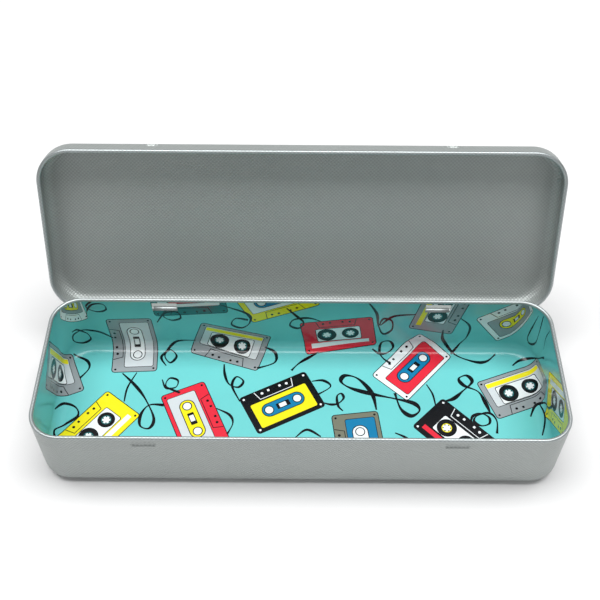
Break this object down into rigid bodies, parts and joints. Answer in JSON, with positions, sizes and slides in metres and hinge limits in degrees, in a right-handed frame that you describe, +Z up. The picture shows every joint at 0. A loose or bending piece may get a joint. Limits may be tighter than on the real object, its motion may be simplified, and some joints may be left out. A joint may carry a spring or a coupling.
{
  "type": "hinged tin pencil case",
  "caption": "Long tinplate pencil case with round corners: a deep tray with a printed lining and a shallow lid that hinges along the rear edge.",
  "frame": {"origin": "centre of the tray's flat underside", "axes": "+X along the case, +Y from the front to the hinge, +Z up"},
  "size_m": [0.2038, 0.1007, 0.0875],
  "materials": {
    "tray_tin": "satin grey tinplate with a fine embossed dot lattice",
    "lid_tin": "satin grey tinplate with a fine embossed dot lattice",
    "printed_lining": "gloss print on tinplate: teal ground with flat coloured shapes"
  },
  "bodies": {
    "tray": {"base_tray": "tray_tin"},
    "lid": {"lid_shell": "lid_tin"}
  },
  "joints": [
    {"name": "lid_hinge", "type": "hinge", "parent": "tray", "child": "lid", "pos_m": [0, 0.03385, 0.0242], "axis": [1, 0, 0], "range_deg": [0, 112.8]}
  ]
}
